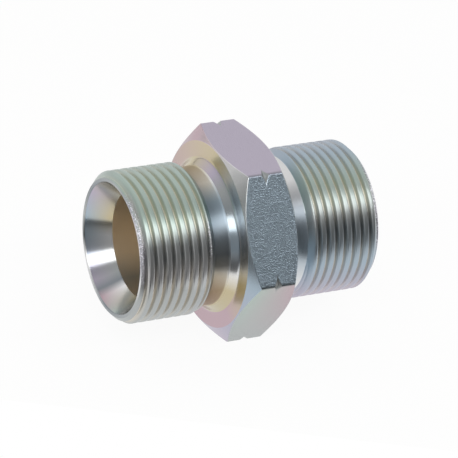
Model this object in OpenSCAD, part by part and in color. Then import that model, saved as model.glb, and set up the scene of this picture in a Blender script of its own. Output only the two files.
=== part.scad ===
// Straight adapter fitting with two male threads, a wrench hexagon and a coned seat in each end.
// The part is turned from hexagonal steel bar, and lies on one flat of its hexagon.
// The origin is on the axis, at the middle of the hexagon. +X runs along the axis, and +Z is up.

/* [Body] */
// Length over both end faces
body_l = 41; // [38:0.5:60]

/* [Hexagon] */
// Width across the flats
hex_af = 30; // [28:0.5:41]
// Width along the axis, from face to face
hex_w = 8.6; // [6:0.1:12]
// Angle of the corner chamfers, measured from the face
corner_chamfer_deg = 30; // [15:1:35]
// How far inside the flats the corner chamfers start
chamfer_inset = 0.15; // [0.05:0.05:0.6]
// Depth of the identification groove below the corners
mark_depth = 0.7; // [0.3:0.05:1]
// Included angle of the identification groove
mark_deg = 90; // [60:5:110]

/* [Threads] */
// Outside diameter
thread_d = 24; // [21:0.5:26]
// Pitch
thread_pitch = 1.5; // [1:0.25:2]
// Axial length of the chamfer that leads into each thread
lead_chamfer = 1.05; // [0.5:0.05:1.5]
// Turn of the left groove at its end face, from +Y towards +Z
left_start_deg = 14; // [0:1:360]
// Turn of the right groove at its end face, from +Y towards +Z
right_start_deg = 238; // [0:1:360]

/* [Relief necks] */
// Depth of the necks below the root of the thread
neck_clearance = 0.2; // [0.1:0.05:0.6]
// Length of the neck's straight part
neck_l = 2.4; // [1:0.1:3]
// Slope of the wall where the thread begins, measured from square to the axis
wall_deg = 45; // [0:1:60]
// Radial height of the 45 degree shoulder between neck and hexagon
shoulder_h = 1.3; // [0.5:0.1:2]

/* [Bore and seats] */
// Diameter of the through bore
bore_d = 16.4; // [8:0.1:19]
// Width of the flat land round the mouth of each coned seat
land_w = 0.5; // [0.25:0.05:1.5]
// Included angle of the coned seats
seat_deg = 60; // [40:1:90]

/* [Hidden] */

steel_colour = "#A9B2B0";
round_fn = 180;
groove_steps = 40;
// Basic profile of a 60 degree metric thread
flank_deg = 30;
crest_flat = thread_pitch / 8;
root_flat = thread_pitch / 4;
thread_depth = (thread_pitch - crest_flat - root_flat) / 2 / tan(flank_deg);
// The groove's cutter stands this far out of the thread, where its turns don't yet meet
groove_lift = crest_flat / 4 / tan(flank_deg);
// How far a cutting shape runs past the surface that it cuts
run_out = 0.5;

end_x = body_l / 2;
thread_r = thread_d / 2;
land_r = thread_r - lead_chamfer;
root_r = thread_r - thread_depth;
neck_r = root_r - neck_clearance;
face_x = hex_w / 2;
shoulder_r = neck_r + shoulder_h;
neck_x = face_x + shoulder_h;
thread_x = neck_x + neck_l;
corner_r = hex_af / 2 / cos(30);
chamfer_r = hex_af / 2 - chamfer_inset;
chamfer_drop = (corner_r - chamfer_r) * tan(corner_chamfer_deg);
bore_r = bore_d / 2;
seat_r = land_r - land_w;
seat_depth = (seat_r - bore_r) / tan(seat_deg / 2);

// Turned outline of one threaded end before its thread is cut: shoulder, neck and lead chamfer
module end_blank() {
    rotate_extrude($fn = round_fn) polygon([
        [0, 0],
        [shoulder_r, 0],
        [shoulder_r, face_x],
        [neck_r, neck_x],
        [neck_r, thread_x],
        [thread_r, thread_x + (thread_r - neck_r) * tan(wall_deg)],
        [thread_r, end_x - lead_chamfer],
        [land_r, end_x],
        [0, end_x]
    ]);
}

// Bar hexagon with both corners chamfered by turning, and a turned groove round its middle
module hexagon() {
    difference() {
        intersection() {
            rotate([0, 0, 30])
                cylinder(r = corner_r, h = hex_w, center = true, $fn = 6);
            rotate_extrude($fn = round_fn) polygon([
                [0, -face_x],
                [chamfer_r, -face_x],
                [corner_r, chamfer_drop - face_x],
                [corner_r + run_out, chamfer_drop - face_x],
                [corner_r + run_out, face_x - chamfer_drop],
                [corner_r, face_x - chamfer_drop],
                [chamfer_r, face_x],
                [0, face_x]
            ]);
        }
        mark_groove();
    }
}

// V groove that crosses each corner of the hexagon
module mark_groove() {
    mark_r = corner_r - mark_depth;
    half_w = (mark_depth + run_out) * tan(mark_deg / 2);
    rotate_extrude($fn = round_fn) polygon([
        [mark_r, 0],
        [corner_r + run_out, half_w],
        [corner_r + run_out, -half_w]
    ]);
}

// Through bore with a coned seat opening at each end
module bore() {
    flare = run_out * tan(seat_deg / 2);
    rotate_extrude($fn = round_fn) polygon([
        [0, -end_x - run_out],
        [seat_r + flare, -end_x - run_out],
        [bore_r, seat_depth - end_x],
        [bore_r, end_x - seat_depth],
        [seat_r + flare, end_x + run_out],
        [0, end_x + run_out]
    ]);
}

// The four corners of the thread groove's section, turned to an angle and moved along the axis
function groove_section(turn, x) =
    let (
        outer_r = thread_r + groove_lift,
        outer_half = root_flat / 2 + (outer_r - root_r) * tan(flank_deg)
    )
    [
        for (p = [
            [root_r, -root_flat / 2],
            [outer_r, -outer_half],
            [outer_r, outer_half],
            [root_r, root_flat / 2]
        ])
            [p[0] * cos(turn), p[0] * sin(turn), x + p[1]]
    ];

// One continuous right-hand thread groove, from the neck out past the end face.
// Its middle crosses the end face at the angle start_deg.
module thread_groove(start_deg) {
    // The groove fades out in the neck, half a pitch before the thread begins
    x_from = thread_x - thread_pitch / 2;
    x_to = end_x + thread_pitch;
    steps = ceil((x_to - x_from) / thread_pitch * groove_steps);
    points = [
        for (i = [0:steps])
            let (x = x_from + (x_to - x_from) * i / steps)
            each groove_section(start_deg + (x - end_x) / thread_pitch * 360, x)
    ];
    sides = [
        for (i = [0:steps - 1], k = [0:3])
            let (a = 4 * i + k, b = 4 * i + (k + 1) % 4)
            each [[a, b, a + 4], [b, b + 4, a + 4]]
    ];
    last = 4 * steps;
    ends = [[3, 2, 1, 0], [last, last + 1, last + 2, last + 3]];
    polyhedron(points, concat(sides, ends));
}

// One end of the body with its thread cut
module threaded_end(start_deg) {
    difference() {
        end_blank();
        thread_groove(start_deg);
    }
}

module adapter_body() {
    color(steel_colour) rotate([0, 90, 0]) difference() {
        union() {
            hexagon();
            threaded_end(right_start_deg + 90);
            rotate([180, 0, 0]) threaded_end(-left_start_deg - 90);
        }
        bore();
    }
}

adapter_body();
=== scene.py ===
from math import cos, pi, radians, sin, tan

import bmesh
import bpy
import numpy as np
from mathutils import Matrix, Vector


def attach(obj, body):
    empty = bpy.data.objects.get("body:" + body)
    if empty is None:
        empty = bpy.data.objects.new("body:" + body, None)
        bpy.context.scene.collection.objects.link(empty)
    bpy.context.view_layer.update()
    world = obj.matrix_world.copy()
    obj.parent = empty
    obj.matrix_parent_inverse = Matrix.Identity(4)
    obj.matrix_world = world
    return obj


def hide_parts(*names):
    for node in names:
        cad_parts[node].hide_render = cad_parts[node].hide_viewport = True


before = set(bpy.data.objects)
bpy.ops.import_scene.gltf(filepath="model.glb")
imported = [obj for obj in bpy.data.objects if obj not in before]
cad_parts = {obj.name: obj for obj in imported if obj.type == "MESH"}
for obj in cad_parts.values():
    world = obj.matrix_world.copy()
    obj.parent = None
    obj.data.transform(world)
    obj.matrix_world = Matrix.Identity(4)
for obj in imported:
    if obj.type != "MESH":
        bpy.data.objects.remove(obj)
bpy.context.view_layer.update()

# The wrench hexagon.
# It is what the lathe leaves of 30 mm hexagonal steel bar, so its flats keep the bar's drawn skin. The lathe
# chamfers its corners, which leaves a washer face, and a V tool marks them as those of a metric thread.

# Sizes are in millimetres, as in the part's source, and angles run from +Y towards +Z
MM = 0.001
body_length = 41
hex_across_flats = 30
hex_width = 8.6
chamfer_inset = 0.15
corner_chamfer_deg = 30
mark_depth = 0.7
face_edge = 0.03
flat_edge = 0.05
mark_edge = 0.05
chamfer_rows = 5
flat_rows = 6
columns_round = 192
corner_spread_deg = np.array([-0.7, -0.35, 0.35, 0.7])

end_x = body_length / 2
face_x = hex_width / 2
corner_r = hex_across_flats / 2 / cos(radians(30))
chamfer_r = hex_across_flats / 2 - chamfer_inset
mark_r = corner_r - mark_depth

# Each corner of the hexagon has four more columns, which close up to one on the turned stretches
hex_corner_deg = np.arange(0, 360, 60)
plain_deg = np.arange(columns_round) * 360 / columns_round
column_deg = np.concatenate([plain_deg, *(corner + corner_spread_deg for corner in hex_corner_deg)])
home_deg = np.concatenate([plain_deg, *(np.full(4, corner) for corner in hex_corner_deg)])
order = np.argsort(column_deg)
column_turn = np.radians(column_deg[order])
home_turn = np.radians(home_deg[order])
from_flat = (column_turn % radians(60)) - radians(30)
hex_r = hex_across_flats / 2 / np.cos(from_flat)
# The point of each corner is blunted down to the nearest two of its columns
blunted = hex_across_flats / 2 * tan(radians(30)) * radians(corner_spread_deg[2])
hex_r = np.minimum(hex_r, corner_r - blunted)
mark_w = np.maximum(hex_r - mark_r, 0)


def row(x, r, turn, finish):
    """One ring of points round the axis, and the finish of the strip that runs on from it."""
    x, r = np.broadcast_to(x, turn.shape), np.broadcast_to(r, turn.shape)
    return np.stack([x, r * np.cos(turn), r * np.sin(turn)], axis=1) * MM, finish


def half_hexagon():
    """Rows (x, r, finish) from the shoulder to the middle of the hexagon, on the side of -X."""
    slope_x, slope_r = sin(radians(corner_chamfer_deg)), cos(radians(corner_chamfer_deg))
    cone_w = (hex_r - chamfer_r) / slope_r
    cone_edge = np.minimum(flat_edge, cone_w / 4)

    def on_cone(w):
        return w * slope_x - face_x, chamfer_r + w * slope_r

    rows = [(-face_x, chamfer_r - 2 * face_edge, "washer"), (-face_x, chamfer_r - face_edge, "corner")]
    near, far = 2 * face_edge, cone_w - 2 * cone_edge
    rows.append((*on_cone(face_edge), "corner"))
    for t in np.linspace(0, 1, chamfer_rows):
        rows.append((*on_cone(near + (far - near) * t), "corner"))
    rows.append((*on_cone(cone_w - cone_edge), "corner"))
    flat_from, flat_to = on_cone(cone_w)[0] + cone_edge, -mark_w - mark_edge
    rows.append((flat_from, hex_r, "drawn"))
    flat_from = flat_from + cone_edge
    for t in np.linspace(0, 1, flat_rows):
        rows.append((flat_from + (flat_to - mark_edge - flat_from) * t, hex_r, "drawn"))
    rows.append((flat_to, hex_r, "drawn"))
    for back in (mark_edge, 2 * mark_edge, mark_depth / 2, mark_depth - mark_edge):
        depth = np.maximum(mark_w - back, 0)
        rows.append((-depth, np.where(mark_w > 0, mark_r + depth, hex_r), "mark"))
    return rows


half = half_hexagon()
middle = [(0 * mark_w, np.where(mark_w > 0, mark_r, hex_r), "mark")]
# On the side of +X each strip has the finish of the one that it mirrors
mirrored = ["washer"] + [finish for _, _, finish in half[:-1]]
right_half = [(-x, r, finish) for (x, r, _), finish in zip(reversed(half), reversed(mirrored))]
hexagon_rows = [row(x, r, column_turn, finish) for x, r, finish in half + middle + right_half]


def linear(hex_colour):
    """An sRGB hex colour as the linear values that a shader takes."""
    value = np.array([int(hex_colour[i : i + 2], 16) / 255 for i in (1, 3, 5)])
    value = np.where(value > 0.04045, ((value + 0.055) / 1.055) ** 2.4, value / 12.92)
    return (*value, 1)


def add(tree, kind, links=None, stops=(), **settings):
    """Adds a node. Settings are its properties, stops those of its ramp, and links give its sockets a value,
    an output of another node, or another node whose first output is meant."""
    node = tree.nodes.new(kind)
    for name, value in settings.items():
        setattr(node, name, value)
    for name, value in (links or {}).items():
        socket = node.inputs[name]
        if isinstance(value, bpy.types.Node):
            value = value.outputs[0]
        if isinstance(value, bpy.types.NodeSocket):
            tree.links.new(value, socket)
        else:
            socket.default_value = value
    if stops:
        elements = node.color_ramp.elements
        elements.remove(elements[1])
        for i, (position, colour) in enumerate(stops):
            element = elements.new(position) if i else elements[0]
            element.position = position
            element.color = colour
    return node


def round_axis(film):
    """A film's colours as ramp stops over one turn, which end on the colour that they start with."""
    return [(turn_deg / 360, linear(colour)) for turn_deg, colour in (*film, (360, film[0][1]))]


# The few colours that zinc shows under a clear passivate, as its film grows thicker
plain = "#B0B4B4"
straw = "#C4B898"
pink = "#BCA4AC"
lilac = "#B8B0C0"
blue = "#A8B8C4"
green = "#B0C0B8"
# These three are painted light: a pale painted highlight, and painted shade at two depths, for where the
# metal should mirror the soft box and table or the dark side of the room
painted_light = "#E8E8E8"
painted_half_shade = "#888E94"
painted_shade = "#5C6264"
# A warm cream: the bore's own dull colour, and the painted light in the roots of the thread
cream = "#F0E2CC"
# The clear passivate is a thin iridescent film, whose colour drifts with its thickness over a few mm
drifts_per_metre = 180.0
# A finishing cut leaves rings about 0.1 mm apart. They are drawn a little coarser, so that they show
turning_line_mm = 0.15
# Burrs are crumbs of bare bright zinc, which end over a few degrees. A crumb is where the noise is high
burr_mm = 0.22
burr_fade_deg = 12
burr_tint = 0.4
bare_zinc = "#F4F2FA"
crumb_noise = {1: 0.55, 2: 0.62, 3: 0.0, 4: 1.0}
# Grain stands out of a surface that is flat in between
grain_noise = {1: 0.5, 2: 0.7, 3: 0.0, 4: 1.0}
# How much of the painted light and shade in the roots a groove shows at its bottom
root_share = 0.55


def zinc(name, roughness, films, along="x", drift_deg=10, across=0.0, line_height=0.0, grain_mm=0.0,
         grain_height=0.0, painted_root_light=(), burrs=(), burr_height=0.0):
    """Zinc plate on steel. Each of the films is a distance in mm and the colours round the axis there, and
    they blend in between. Turning lines, grain, painted light and shade in the grooves, or burrs may lie over
    them.
    A burr is its middle and half width in mm, the shade round its crumbs and the angles it lies between."""
    material = bpy.data.materials.new(name)
    material.use_nodes = True
    tree = material.node_tree
    tree.nodes.clear()
    place = add(tree, "ShaderNodeTexCoord").outputs["Object"]
    axes = add(tree, "ShaderNodeSeparateXYZ", {0: place})
    x = axes.outputs["X"]
    turn = add(tree, "ShaderNodeMath", {0: axes.outputs["Z"], 1: axes.outputs["Y"]}, operation="ARCTAN2")
    turn = add(tree, "ShaderNodeMath", {0: turn, 1: 2 * pi}, operation="DIVIDE")
    drift = add(tree, "ShaderNodeTexNoise", {"Vector": place, "Scale": drifts_per_metre, "Detail": 3.0})
    drift = add(tree, "ShaderNodeMath", {0: drift, 1: 0.5}, operation="SUBTRACT")
    drift = add(tree, "ShaderNodeMath", {0: drift, 1: drift_deg / 360, 2: turn}, operation="MULTIPLY_ADD")
    drifted_turn = add(tree, "ShaderNodeMath", {0: drift}, operation="FRACT")

    measure = x
    if along == "depth":
        measure = add(tree, "ShaderNodeMath", {0: x}, operation="ABSOLUTE")
        measure = add(tree, "ShaderNodeMath", {0: end_x * MM, 1: measure}, operation="SUBTRACT")
    colour = add(tree, "ShaderNodeValToRGB", {0: drifted_turn}, round_axis(films[0][1]))
    for (near_mm, _), (far_mm, film) in zip(films, films[1:]):
        reach = add(tree, "ShaderNodeMapRange", {0: measure, 1: near_mm * MM, 2: far_mm * MM, 3: 0.0, 4: 1.0})
        other = add(tree, "ShaderNodeValToRGB", {0: drifted_turn}, round_axis(film))
        colour = add(tree, "ShaderNodeMix", {0: reach, 6: colour, 7: other}, data_type="RGBA").outputs[2]
    # Painted light in the roots of the grooves, which lifts them, with painted shade round 158 degrees where
    # they face the dark room
    if painted_root_light:
        root = add(tree, "ShaderNodeAttribute", attribute_name="root").outputs["Fac"]
        root = add(tree, "ShaderNodeMath", {0: root, 1: 1.0}, operation="MINIMUM")
        root = add(tree, "ShaderNodeMath", {0: root, 1: root_share}, operation="MULTIPLY")
        other = add(tree, "ShaderNodeValToRGB", {0: drifted_turn}, round_axis(painted_root_light))
        colour = add(tree, "ShaderNodeMix", {0: root, 6: colour, 7: other}, data_type="RGBA").outputs[2]

    heights = []
    for middle_mm, half_mm, shade, from_deg, to_deg in burrs:
        near = add(tree, "ShaderNodeMath", {0: x, 1: middle_mm * MM}, operation="SUBTRACT")
        near = add(tree, "ShaderNodeMath", {0: near}, operation="ABSOLUTE")
        fall = -1 / (half_mm * MM)
        near = add(tree, "ShaderNodeMath", {0: near, 1: fall, 2: 1.0}, operation="MULTIPLY_ADD")
        near = add(tree, "ShaderNodeMath", {0: near, 1: 0.0}, operation="MAXIMUM")
        # The inner half of a burr has its full strength
        near = add(tree, "ShaderNodeMath", {0: near, 1: 2.0}, operation="MULTIPLY")
        near = add(tree, "ShaderNodeMath", {0: near, 1: 1.0}, operation="MINIMUM")
        for none_deg, full_deg in ((from_deg, from_deg + burr_fade_deg), (to_deg, to_deg - burr_fade_deg)):
            fade = {0: turn, 1: none_deg / 360, 2: full_deg / 360, 3: 0.0, 4: 1.0}
            fade = add(tree, "ShaderNodeMapRange", fade)
            near = add(tree, "ShaderNodeMath", {0: near, 1: fade}, operation="MULTIPLY")
        crumbs = {"Vector": place, "Scale": 1 / (burr_mm * MM), "Detail": 1.0}
        crumbs = add(tree, "ShaderNodeTexNoise", crumbs)
        if burr_height:
            height = add(tree, "ShaderNodeMath", {0: near, 1: crumbs}, operation="MULTIPLY")
            heights.append((height, burr_height))
        tint = add(tree, "ShaderNodeMath", {0: near, 1: burr_tint}, operation="MULTIPLY")
        tinted = {0: tint, 6: colour, 7: linear(shade)}
        colour = add(tree, "ShaderNodeMix", tinted, data_type="RGBA").outputs[2]
        bright = add(tree, "ShaderNodeMapRange", {0: crumbs, **crumb_noise})
        bright = add(tree, "ShaderNodeMath", {0: near, 1: bright}, operation="MULTIPLY")
        bare = {0: bright, 6: colour, 7: linear(bare_zinc)}
        colour = add(tree, "ShaderNodeMix", bare, data_type="RGBA").outputs[2]
    if line_height:
        r = add(tree, "ShaderNodeVectorMath", {0: place, 1: (0, 1, 1)}, operation="MULTIPLY")
        r = add(tree, "ShaderNodeVectorMath", {0: r}, operation="LENGTH").outputs["Value"]
        rings = add(tree, "ShaderNodeCombineXYZ", {"X": x, "Y": r})
        lines = {"Vector": rings, "Scale": 1 / (turning_line_mm * MM), "Detail": 1.0}
        heights.append((add(tree, "ShaderNodeTexNoise", lines), line_height))
    if grain_height:
        grain = {"Vector": place, "Scale": 1 / (grain_mm * MM), "Detail": 1.0}
        grain = add(tree, "ShaderNodeTexNoise", grain)
        grain = add(tree, "ShaderNodeMapRange", {0: grain, **grain_noise})
        heights.append((grain, grain_height))
    surface = {"Base Color": colour, "Metallic": 1.0, "Roughness": roughness}
    for height, height_mm in heights:
        bump = {"Height": height, "Distance": height_mm * MM}
        if "Normal" in surface:
            bump["Normal"] = surface["Normal"]
        surface["Normal"] = add(tree, "ShaderNodeBump", bump)
    if across:
        # Turning lines run round the axis, so the shine spreads across them
        surface["Anisotropic"] = across
        surface["Anisotropic Rotation"] = 0.25
        round_it = add(tree, "ShaderNodeVectorMath", {0: place, 1: (1, 0, 0)}, operation="CROSS_PRODUCT")
        surface["Tangent"] = round_it
    add(tree, "ShaderNodeOutputMaterial", {0: add(tree, "ShaderNodeBsdfPrincipled", surface)})
    return material


# Zinc on a faced washer: fine rings and a soft shine across them, from olive at the top to pink below, with a
# band of painted highlight at the front
washer_zinc = zinc(
    "zinc_on_faced_steel", 0.24, across=0.7, line_height=0.001, drift_deg=14,
    films=[(-4, [(0, pink), (90, straw), (120, plain), (150, painted_light), (190, straw), (220, pink)]),
           (4, [(0, plain), (180, blue)])],
)

# Zinc on turned chamfers: a broad soft sheen, warm grey at the top and bluish below, with a band of painted
# highlight high on the front
corner_zinc = zinc(
    "zinc_on_chamfered_corners", 0.26, across=0.5, line_height=0.001, drift_deg=14,
    films=[(0, [(0, plain), (60, pink), (110, painted_light), (130, plain), (180, blue), (240, lilac)])],
)

# Zinc on cold-drawn bar: a dull grey that sparkles where the skin's grain catches the light.
# A drawn skin's grain is finer than this, and is drawn 0.18 mm wide, so that it shows. The edges of the
# front flat carry thin lines of painted shade, where they would mirror the dark room.
drawn_zinc = zinc(
    "zinc_on_drawn_bar", 0.28, grain_mm=0.18, grain_height=0.0176, drift_deg=1,
    films=[
        (-3.5, [(0, plain), (60, lilac), (119, lilac), (120, painted_shade), (121, blue), (179, blue), (180, painted_shade),
                (181, green), (240, plain)]),
        (3.5, [(0, plain), (60, lilac), (119, lilac), (120, painted_shade), (121, blue), (179, blue), (180, painted_shade),
               (181, pink), (240, plain)]),
    ],
)

# Zinc in the V tool's cut: plain, because little light reaches into it
mark_zinc = zinc("zinc_in_corner_mark", 0.3, films=[(0, [(0, plain)])])

# The shoulders and the relief necks.
# A 45 degree shoulder runs down from each face of the hexagon to a neck. The neck is turned a little deeper
# than the root of the thread, so that the threading tool can run out.
thread_diameter = 24
thread_pitch = 1.5
flank_deg = 30
neck_clearance = 0.2
neck_length = 2.4
shoulder_height = 1.3
neck_fillet = 0.12
shoulder_fillet = 0.5
fillet_rows = 5

thread_r = thread_diameter / 2
thread_depth = 5 / 16 * thread_pitch / tan(radians(flank_deg))
neck_r = thread_r - thread_depth - neck_clearance
shoulder_r = neck_r + shoulder_height
neck_x = face_x + shoulder_height
thread_x = neck_x + neck_length


def softened(outline, edges):
    """The outline with each inner corner rounded over a distance, and held by a point just beyond."""
    points = [np.array(outline[0], float)]
    for before, corner, after, edge in zip(outline, outline[1:], outline[2:], edges):
        corner = np.array(corner, float)
        back = np.array(before) - corner
        on = np.array(after) - corner
        back, on = back / np.linalg.norm(back) * edge, on / np.linalg.norm(on) * edge
        points.append(corner + 2 * back)
        for t in np.linspace(0, 1, fillet_rows):
            points.append(corner + back * (1 - t) ** 2 + on * t**2)
        points.append(corner + 2 * on)
    points.append(np.array(outline[-1], float))
    return points


def both_ends(line, finishes):
    """Rows along a line at one end of the fitting, and the mirrored rows that run back at its other end."""
    there = [row(x, r, home_turn, finish) for (x, r), finish in zip(line, finishes)]
    mirrored = [None, *finishes[:-1]]
    back = [row(-x, r, home_turn, finish) for (x, r), finish in zip(reversed(line), reversed(mirrored))]
    return there, back


left_outline = [(-thread_x, neck_r), (-neck_x, neck_r), (-face_x, shoulder_r), (-face_x, chamfer_r)]
left_neck = softened(left_outline, (neck_fillet, shoulder_fillet))[:-1]
neck_finish = []
for x, r in left_neck:
    neck_finish.append("washer" if r > shoulder_r else "cone" if x > -neck_x + neck_fillet else "neck")
neck_there, neck_back = both_ends(left_neck, neck_finish)
outer_rows = neck_there + hexagon_rows + neck_back

# Zinc on a roughly turned neck: a dull sheen, with bands of painted highlight and painted shade along it, and
# warm below
neck_zinc = zinc(
    "zinc_on_relief_neck", 0.36, across=0.5, line_height=0.001, drift_deg=5,
    films=[(-4, [(0, straw), (70, straw), (100, painted_light), (120, blue), (165, painted_half_shade), (180, painted_light), (200, straw)]),
           (4, [(0, plain), (110, painted_light), (135, painted_half_shade), (170, blue), (210, painted_light)])],
)
# Zinc on a finely turned shoulder: brighter than the neck, with a hard glint where it faces the soft box, and
# a painted highlight at the front
cone_zinc = zinc(
    "zinc_on_turned_shoulder", 0.2, across=0.6, line_height=0.001, drift_deg=8,
    films=[(-4, [(0, plain), (60, straw), (95, lilac), (115, plain), (160, blue), (180, painted_light), (200, straw)]),
           (4, [(0, plain), (180, blue)])],
)

# The coned seats and the bore.
# A hose end seals on a finely turned 60 degree cone at each end, inside a narrow faced land. The bore is
# drilled through, and the plating hardly reaches into it.
lead_chamfer = 1.05
bore_diameter = 16.4
land_width = 0.5
seat_deg = 60
seat_edge = 0.08
land_lip = 0.05
bore_start = 1
bore_rows = 8

land_r = thread_r - lead_chamfer
bore_r = bore_diameter / 2
seat_r = land_r - land_width
seat_x = end_x - (seat_r - bore_r) / tan(radians(seat_deg / 2))
seat_outline = [(end_x, land_r), (end_x, seat_r), (seat_x, bore_r), (seat_x - bore_start, bore_r)]
seat_line = softened(seat_outline, (seat_edge, seat_edge))
seat_finish = []
for x, r in seat_line:
    seat_finish.append("land" if r > seat_r - land_lip else "seat" if x > seat_x else "bore")
seat_there, seat_back = both_ends(seat_line, seat_finish)
bore_x = np.linspace(seat_x - bore_start, bore_start - seat_x, bore_rows)
inner_rows = seat_there + [row(x, bore_r, home_turn, "bore") for x in bore_x[1:-1]] + seat_back

# Zinc on a faced land: pale, and broken up by the burrs that the threading tool leaves there, with spokes of
# painted highlight and painted shade round it
land_zinc = zinc(
    "zinc_on_end_land", 0.3, grain_mm=0.3, grain_height=0.004, drift_deg=6,
    burrs=[(-20.5, 0.7, lilac, 100, 176), (20.5, 0.7, lilac, 100, 176)],
    films=[(0, [(0, plain), (30, painted_half_shade), (90, plain), (120, painted_half_shade), (135, painted_light), (165, painted_half_shade), (180, painted_light),
                (200, plain), (270, painted_half_shade), (320, painted_light), (340, painted_shade)])],
)

# Zinc on a finely turned seat: nearly a mirror, with a fan of light, dark and rainbow out of the bore. Near
# the bottom, a pale band and a dark band are painted highlight and painted shade
seat_zinc = zinc(
    "zinc_on_coned_seat", 0.2, across=0.6, line_height=0.001, along="depth", drift_deg=4,
    films=[(0.2, [(0, blue), (30, lilac), (60, straw), (250, green), (280, pink), (290, painted_half_shade), (300, lilac),
                  (340, blue)]),
           (3.5, [(0, straw), (80, plain), (250, straw), (280, painted_light), (290, painted_half_shade), (300, plain),
                  (340, painted_light)])],
)

# Thin zinc in a drilled bore: dull and brownish, because the plating bath hardly reaches into it
bore_zinc = zinc(
    "zinc_in_drilled_bore", 0.45, grain_mm=0.3, grain_height=0.004,
    films=[(0, [(0, cream), (240, cream), (290, plain), (320, cream)])],
)

finishes = {
    "neck": neck_zinc, "cone": cone_zinc, "washer": washer_zinc, "corner": corner_zinc, "drawn": drawn_zinc,
    "mark": mark_zinc, "land": land_zinc, "seat": seat_zinc, "bore": bore_zinc,
}


def skin(strips):
    """A mesh of the strips between neighbouring rows, for each list of rows, with each face's finish."""
    points, faces, marks = [], [], []
    names = list(finishes)
    count = len(home_turn)
    for rows in strips:
        first = len(points) * count
        points += [ring for ring, _ in rows]
        for j, (_, finish) in enumerate(rows[:-1]):
            a = first + j * count + np.arange(count)
            b = first + j * count + np.roll(np.arange(count), -1)
            faces.append(np.stack([a, b, b + count, a + count], axis=1))
            marks += [names.index(finish)] * count
    mesh = bpy.data.meshes.new("adapter")
    mesh.from_pydata(np.concatenate(points), [], np.concatenate(faces))
    mesh.polygons.foreach_set("material_index", marks)
    mesh.validate()
    for material in finishes.values():
        mesh.materials.append(material)
    return mesh


# The threads.
# Each is cut with a single-point tool in one right-hand helix of 60 degree profile, from the relief neck
# out through the lead chamfer. The tree turns a plain grid into that helix and joins it to the body.
wall_deg = 45
right_start_deg = 238
left_start_deg = 14
rows_per_pitch = 16
# Turns of the helix that run past the two ends of the thread
spare_turns = 3
# The groove as it shows, which is narrower than the full profile and softer at its crests
groove_depth = 0.72
crest_softening = 0.14
root_softening = 0.08
root_flat = 0.05
groove_side_deg = 28
chamfer_follow = 0.7
# Points closer than the gap are joined, and faces thinner than a sliver are closed
joint_gap = 0.003
sliver = 0.001

wall_top_x = thread_x + (thread_r - neck_r) * tan(radians(wall_deg))

# Zinc on a cut thread: bright crests over grey roots, green to pink round it, with bare burrs where the tool
# runs in and out. The roots hold painted light, with painted shade where they face the dark room, and a band
# of painted highlight runs along the front of the near thread
thread_zinc = zinc(
    "zinc_on_cut_thread", 0.33, drift_deg=16, burr_height=0.1,
    burrs=[(-20.5, 0.8, lilac, 100, 186), (20.5, 0.8, lilac, 100, 186), (-9.0, 0.35, plain, 130, 172)],
    painted_root_light=[(0, cream), (130, cream), (158, painted_shade), (186, cream)],
    films=[(-12, [(0, plain), (90, green), (130, green), (150, plain), (170, painted_light), (190, plain)]),
           (8, [(0, lilac), (90, blue), (120, green), (150, plain), (185, blue), (230, lilac)])],
)


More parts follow.
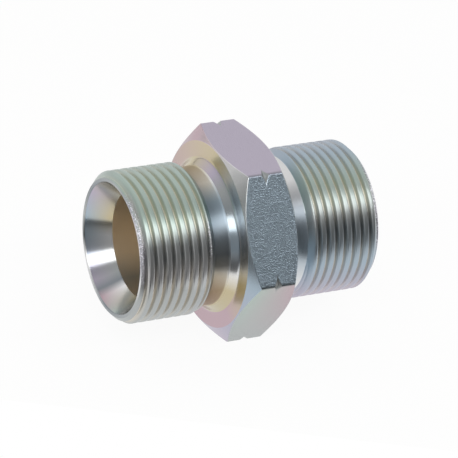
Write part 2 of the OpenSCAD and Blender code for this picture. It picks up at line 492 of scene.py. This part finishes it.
def thread_tree():
    """The node group that lays a grid round one end as its wall, thread and lead chamfer."""
    tree = bpy.data.node_groups.new("cut one thread", "GeometryNodeTree")
    face = tree.interface
    for name, value in (
        ("Thread radius", thread_r), ("Neck radius", neck_r), ("Land radius", land_r),
        ("Wall foot", thread_x), ("Wall top", wall_top_x), ("End", end_x), ("Pitch", thread_pitch),
        ("Groove depth", groove_depth), ("Root flat", root_flat),
        ("Side slope", tan(radians(groove_side_deg))),
        ("Crest softening", crest_softening), ("Root softening", root_softening),
        ("Chamfer follow", chamfer_follow), ("Turn at the end", 0.0), ("Half turn", 0.0),
    ):
        face.new_socket(name, in_out="INPUT", socket_type="NodeSocketFloat").default_value = value
    face.new_socket("Geometry", in_out="OUTPUT", socket_type="NodeSocketGeometry")
    given = add(tree, "NodeGroupInput").outputs

    turns = int((end_x - thread_x) / thread_pitch) + spare_turns
    rows = turns * rows_per_pitch + 1
    grid = add(tree, "GeometryNodeMeshGrid", {
        "Size X": float(rows - 1), "Size Y": 2 * pi, "Vertices X": rows, "Vertices Y": columns_round + 1,
    })
    spot = add(tree, "ShaderNodeSeparateXYZ", {0: add(tree, "GeometryNodeInputPosition")}).outputs
    row_number = add(tree, "ShaderNodeMath", {0: spot["X"], 1: (rows - 1) / 2}, operation="ADD")
    turn = add(tree, "ShaderNodeMath", {0: spot["Y"], 1: pi}, operation="ADD")
    lead = add(tree, "ShaderNodeMath", {0: given["Pitch"], 1: 2 * pi}, operation="DIVIDE")
    advance = add(tree, "ShaderNodeMath", {0: turn, 1: lead}, operation="MULTIPLY")
    # Where the groove's middle would cross at no turn, and the rows before it
    start = add(tree, "ShaderNodeMath", {0: given["Turn at the end"], 1: lead}, operation="MULTIPLY")
    start = add(tree, "ShaderNodeMath", {0: given["End"], 1: start}, operation="SUBTRACT")
    row_step = add(tree, "ShaderNodeMath", {0: given["Pitch"], 1: rows_per_pitch}, operation="DIVIDE")
    behind = add(tree, "ShaderNodeMath", {0: rows - 1 - rows_per_pitch, 1: row_number}, operation="SUBTRACT")
    behind = add(tree, "ShaderNodeMath", {0: behind, 1: row_step}, operation="MULTIPLY")
    x = add(tree, "ShaderNodeMath", {0: start, 1: behind}, operation="SUBTRACT")
    x = add(tree, "ShaderNodeMath", {0: x, 1: advance}, operation="ADD")
    x = add(tree, "ShaderNodeMath", {0: x, 1: given["Wall foot"]}, operation="MAXIMUM")
    x = add(tree, "ShaderNodeMath", {0: x, 1: given["End"]}, operation="MINIMUM")
    half_pitch = add(tree, "ShaderNodeMath", {0: given["Pitch"], 1: 2}, operation="DIVIDE")
    less_half = add(tree, "ShaderNodeMath", {0: given["Pitch"], 1: -2}, operation="DIVIDE")
    off = add(tree, "ShaderNodeMath", {0: x, 1: start}, operation="SUBTRACT")
    off = add(tree, "ShaderNodeMath", {0: off, 1: advance}, operation="SUBTRACT")
    off = add(tree, "ShaderNodeMath", {0: off, 1: half_pitch, 2: less_half}, operation="WRAP")
    off = add(tree, "ShaderNodeMath", {0: off}, operation="ABSOLUTE")

    # The turned blank: a sloping wall up from the neck, the plain diameter and the lead chamfer
    wall_l = add(tree, "ShaderNodeMath", {0: given["Wall top"], 1: given["Wall foot"]}, operation="SUBTRACT")
    wall_h = {0: given["Thread radius"], 1: given["Neck radius"]}
    wall_h = add(tree, "ShaderNodeMath", wall_h, operation="SUBTRACT")
    wall = add(tree, "ShaderNodeMath", {0: x, 1: given["Wall foot"]}, operation="SUBTRACT")
    wall = add(tree, "ShaderNodeMath", {0: wall, 1: wall_l}, operation="DIVIDE")
    wall = {0: wall, 1: wall_h, 2: given["Neck radius"]}
    wall = add(tree, "ShaderNodeMath", wall, operation="MULTIPLY_ADD")
    chamfer = add(tree, "ShaderNodeMath", {0: given["End"], 1: x}, operation="SUBTRACT")
    chamfer = add(tree, "ShaderNodeMath", {0: given["Land radius"], 1: chamfer}, operation="ADD")
    corner = {0: chamfer, 1: given["Thread radius"], 2: given["Crest softening"]}
    blank = add(tree, "ShaderNodeMath", corner, operation="SMOOTH_MIN")
    corner = {0: blank, 1: wall, 2: given["Crest softening"]}
    blank = add(tree, "ShaderNodeMath", corner, operation="SMOOTH_MIN")

    # The groove follows the lead chamfer down, as it shows right up to the end face
    drop = add(tree, "ShaderNodeMath", {0: given["Thread radius"], 1: chamfer}, operation="SUBTRACT")
    drop = add(tree, "ShaderNodeMath", {0: drop, 1: 0.0}, operation="MAXIMUM")
    drop = add(tree, "ShaderNodeMath", {0: drop, 1: given["Chamfer follow"]}, operation="MULTIPLY")
    bottom = {0: given["Thread radius"], 1: given["Groove depth"]}
    bottom = add(tree, "ShaderNodeMath", bottom, operation="SUBTRACT")
    bottom = add(tree, "ShaderNodeMath", {0: bottom, 1: drop}, operation="SUBTRACT")
    bottom = add(tree, "ShaderNodeMath", {0: bottom, 1: given["Land radius"]}, operation="MAXIMUM")
    half_flat = add(tree, "ShaderNodeMath", {0: given["Root flat"], 1: 2}, operation="DIVIDE")
    rise = add(tree, "ShaderNodeMath", {0: off, 1: half_flat}, operation="SUBTRACT")
    rise = add(tree, "ShaderNodeMath", {0: rise, 1: given["Side slope"]}, operation="DIVIDE")
    rise = add(tree, "ShaderNodeMath", {0: rise, 1: 0.0, 2: given["Root softening"]}, operation="SMOOTH_MAX")
    side = add(tree, "ShaderNodeMath", {0: bottom, 1: rise}, operation="ADD")
    corner = {0: blank, 1: side, 2: given["Crest softening"]}
    r = add(tree, "ShaderNodeMath", corner, operation="SMOOTH_MIN")
    r = add(tree, "ShaderNodeMath", {0: r, 1: given["Land radius"]}, operation="MAXIMUM")
    root = add(tree, "ShaderNodeMath", {0: blank, 1: r}, operation="SUBTRACT")
    root = add(tree, "ShaderNodeMath", {0: root, 1: given["Groove depth"]}, operation="DIVIDE")

    y = add(tree, "ShaderNodeMath", {0: turn}, operation="COSINE")
    y = add(tree, "ShaderNodeMath", {0: r, 1: y}, operation="MULTIPLY")
    z = add(tree, "ShaderNodeMath", {0: turn}, operation="SINE")
    z = add(tree, "ShaderNodeMath", {0: r, 1: z}, operation="MULTIPLY")
    place = add(tree, "ShaderNodeCombineXYZ", {"X": x, "Y": y, "Z": z})
    rooted = {"Geometry": grid, "Name": "root", "Value": root}
    rooted = add(tree, "GeometryNodeStoreNamedAttribute", rooted, data_type="FLOAT", domain="POINT")
    moved = add(tree, "GeometryNodeSetPosition", {"Geometry": rooted, "Position": place})
    spin = add(tree, "ShaderNodeCombineXYZ", {"Z": given["Half turn"]})
    turned_round = {"Geometry": moved, "Rotation": spin, "Scale": (MM, MM, MM)}
    turned_round = add(tree, "GeometryNodeTransform", turned_round)
    marked = {"Geometry": turned_round, "Name": "thread", "Value": True}
    marked = add(tree, "GeometryNodeStoreNamedAttribute", marked, data_type="BOOLEAN", domain="FACE")
    add(tree, "NodeGroupOutput", {"Geometry": marked})
    return tree


def adapter_tree():
    """The tree that cuts both threads, closes the body and gives the threads their finish."""
    tree = bpy.data.node_groups.new("cut both threads", "GeometryNodeTree")
    face = tree.interface
    face.new_socket("Geometry", in_out="INPUT", socket_type="NodeSocketGeometry")
    face.new_socket("Geometry", in_out="OUTPUT", socket_type="NodeSocketGeometry")
    face.new_socket("Right turn at the end", in_out="INPUT", socket_type="NodeSocketFloat")
    face.new_socket("Left turn at the end", in_out="INPUT", socket_type="NodeSocketFloat")
    given = add(tree, "NodeGroupInput").outputs
    one_end = thread_tree()
    joined = add(tree, "GeometryNodeJoinGeometry")
    for turn_name, half_turn in (("Right turn at the end", 0.0), ("Left turn at the end", pi)):
        sizes = {"Turn at the end": given[turn_name], "Half turn": half_turn}
        end = add(tree, "GeometryNodeGroup", sizes, node_tree=one_end)
        tree.links.new(end.outputs[0], joined.inputs[0])
    tree.links.new(given["Geometry"], joined.inputs[0])
    closed = add(tree, "GeometryNodeMergeByDistance", {"Geometry": joined, "Distance": joint_gap * MM})
    smooth = add(tree, "GeometryNodeSetShadeSmooth", {"Geometry": closed})
    real = add(tree, "GeometryNodeRealizeInstances", {"Geometry": smooth})
    cut = add(tree, "GeometryNodeInputNamedAttribute", {"Name": "thread"}, data_type="BOOLEAN")
    dressed = {"Geometry": real, "Selection": cut.outputs["Attribute"], "Material": thread_zinc}
    add(tree, "NodeGroupOutput", {"Geometry": add(tree, "GeometryNodeSetMaterial", dressed)})
    return tree


blank = bpy.data.objects.new("blank", skin([outer_rows, inner_rows]))
bpy.context.scene.collection.objects.link(blank)
modifier = blank.modifiers.new("threads", "NODES")
modifier.node_group = adapter_tree()
end_turns = {
    "Right turn at the end": radians(right_start_deg),
    "Left turn at the end": radians(180 - left_start_deg),
}
for item in modifier.node_group.interface.items_tree:
    if item.in_out == "INPUT" and item.name in end_turns:
        modifier[item.identifier] = end_turns[item.name]
whole = bpy.data.meshes.new_from_object(blank.evaluated_get(bpy.context.evaluated_depsgraph_get()))
whole.name = "adapter"
bpy.data.objects.remove(blank)
shape = bmesh.new()
shape.from_mesh(whole)
bmesh.ops.dissolve_degenerate(shape, edges=shape.edges, dist=sliver * MM)
bmesh.ops.recalc_face_normals(shape, faces=shape.faces)
shape.to_mesh(whole)
shape.free()
adapter = bpy.data.objects.new("adapter", whole)
bpy.context.scene.collection.objects.link(adapter)
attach(adapter, "root")
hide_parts("adapter_body")

# The table, the soft box and the room.
# The fitting lies on a plain white table, under a long soft box above its front. The room is dark on the
# camera's side, and pale overhead and behind.
table_z = -hex_across_flats / 2 * MM
table_half_width = 0.5
table_back = 0.6
# The front edge is close, so that the underside mirrors the dark room and not the table
table_front = -0.0325
table_turn = radians(-28)
table_white = 0.93

along_edge = np.array([cos(table_turn), sin(table_turn)])
away = np.array([-sin(table_turn), cos(table_turn)])
table_corners = []
for end, reach in ((-1, table_front), (1, table_front), (1, table_back), (-1, table_back)):
    spot = along_edge * table_half_width * end + away * reach
    table_corners.append((*spot, table_z))
table_mesh = bpy.data.meshes.new("floor")
table_mesh.from_pydata(table_corners, [], [(0, 1, 2, 3)])
table = bpy.data.objects.new("floor", table_mesh)
bpy.context.scene.collection.objects.link(table)
# A matt white laminate: it shows plain white, also where metal mirrors it, with the fitting's soft shadow
laminate = bpy.data.materials.new("white_table_laminate")
laminate.use_nodes = True
tree = laminate.node_tree
tree.nodes.clear()
rays = add(tree, "ShaderNodeLightPath").outputs
seen = add(tree, "ShaderNodeMath", {0: rays["Is Camera Ray"], 1: rays["Is Glossy Ray"]}, operation="MAXIMUM")
seen = add(tree, "ShaderNodeMath", {0: seen, 1: rays["Is Transmission Ray"]}, operation="MAXIMUM")
seen = add(tree, "ShaderNodeMath", {0: seen, 1: table_white}, operation="MULTIPLY")
matt = add(tree, "ShaderNodeBsdfDiffuse", {"Color": linear("#F6F6F4")})
glow = add(tree, "ShaderNodeEmission", {"Color": (1, 1, 1, 1), "Strength": 1.0})
mix = add(tree, "ShaderNodeMixShader", {0: seen, 1: matt, 2: glow})
add(tree, "ShaderNodeOutputMaterial", {0: mix})
table_mesh.materials.append(laminate)

# Grey levels of the room, from level at the camera's side over the top to level at the far side
over_levels = [(0, 0.05), (0.2, 0.05), (0.256, 0.3), (0.39, 0.5), (0.5, 0.72), (0.64, 0.85), (1, 0.9)]
# The least grey level, from left to right, which fades below the table
side_levels = [(0, 0.38), (0.225, 0.29), (0.55, 0.11), (0.71, 0.13), (1, 0.2)]
# Each fade runs from one ray direction to another, and from one share of the grey to another
left_fade = {1: -0.95, 2: -0.5, 3: 0.55, 4: 1.0}
under_fade = {1: -0.35, 2: -0.15, 3: 0.3, 4: 1.0}

world = bpy.data.worlds.new("studio")
bpy.context.scene.world = world
world.use_nodes = True
tree = world.node_tree
tree.nodes.clear()
ray = add(tree, "ShaderNodeTexCoord").outputs["Generated"]
axes = add(tree, "ShaderNodeSeparateXYZ", {0: ray}).outputs
front = add(tree, "ShaderNodeMath", {0: axes["Y"], 1: -1.0}, operation="MULTIPLY")
over = add(tree, "ShaderNodeMath", {0: axes["Z"], 1: front}, operation="ARCTAN2")
over = add(tree, "ShaderNodeMath", {0: over, 1: 1 / pi}, operation="MULTIPLY")
over = add(tree, "ShaderNodeValToRGB", {0: over}, [(at, (grey, grey, grey, 1)) for at, grey in over_levels])
left = add(tree, "ShaderNodeMapRange", {0: axes["X"], **left_fade})
over = add(tree, "ShaderNodeMath", {0: over, 1: left}, operation="MULTIPLY")
side = add(tree, "ShaderNodeMath", {0: axes["X"], 1: 0.5, 2: 0.5}, operation="MULTIPLY_ADD")
side = add(tree, "ShaderNodeValToRGB", {0: side}, [(at, (grey, grey, grey, 1)) for at, grey in side_levels])
under = add(tree, "ShaderNodeMapRange", {0: axes["Z"], **under_fade})
side = add(tree, "ShaderNodeMath", {0: side, 1: under}, operation="MULTIPLY")
level = add(tree, "ShaderNodeMath", {0: over, 1: side}, operation="MAXIMUM")
around = add(tree, "ShaderNodeBackground", {"Color": level, "Strength": 1.0})
white = add(tree, "ShaderNodeBackground", {"Color": (1, 1, 1, 1), "Strength": 1.0})
rays = add(tree, "ShaderNodeLightPath").outputs
mix = add(tree, "ShaderNodeMixShader", {0: rays["Is Camera Ray"], 1: around, 2: white})
add(tree, "ShaderNodeOutputWorld", {0: mix})

soft_box = bpy.data.lights.new("key_soft_box", "AREA")
soft_box.shape = "RECTANGLE"
soft_box.size = 3.0
soft_box.size_y = 0.28
soft_box.energy = 6.4
soft_box_distance = 0.7
out = Vector((-0.25, -0.63, 0.74)).normalized()
side = Vector((1, 0, 0))
side = (side - out * side.dot(out)).normalized()
facing = Matrix((side, out.cross(side), out)).transposed().to_4x4()
lamp = bpy.data.objects.new("key_soft_box", soft_box)
lamp.matrix_world = Matrix.Translation(out * soft_box_distance) @ facing
lamp.visible_camera = False
bpy.context.scene.collection.objects.link(lamp)

# The camera.
# It stands at the front left and looks down on the part, as the photograph's does.
camera_place = Vector((-232.9, -413.7, 277.9)) * MM
camera_right = Vector((0.89598, -0.43034, 0.10955)).normalized()
camera_down = Vector((-0.13484, -0.49871, -0.85620))
camera_data = bpy.data.cameras.new("camera")
camera_data.lens = 275.3
camera_data.sensor_width = 36
camera_data.clip_start = 0.01
camera_up = (-camera_down - camera_right * (-camera_down).dot(camera_right)).normalized()
facing = Matrix((camera_right, camera_up, camera_right.cross(camera_up))).transposed().to_4x4()
camera = bpy.data.objects.new("camera", camera_data)
camera.matrix_world = Matrix.Translation(camera_place) @ facing
bpy.context.scene.collection.objects.link(camera)
bpy.context.scene.camera = camera
bpy.context.scene.view_settings.view_transform = "Standard"
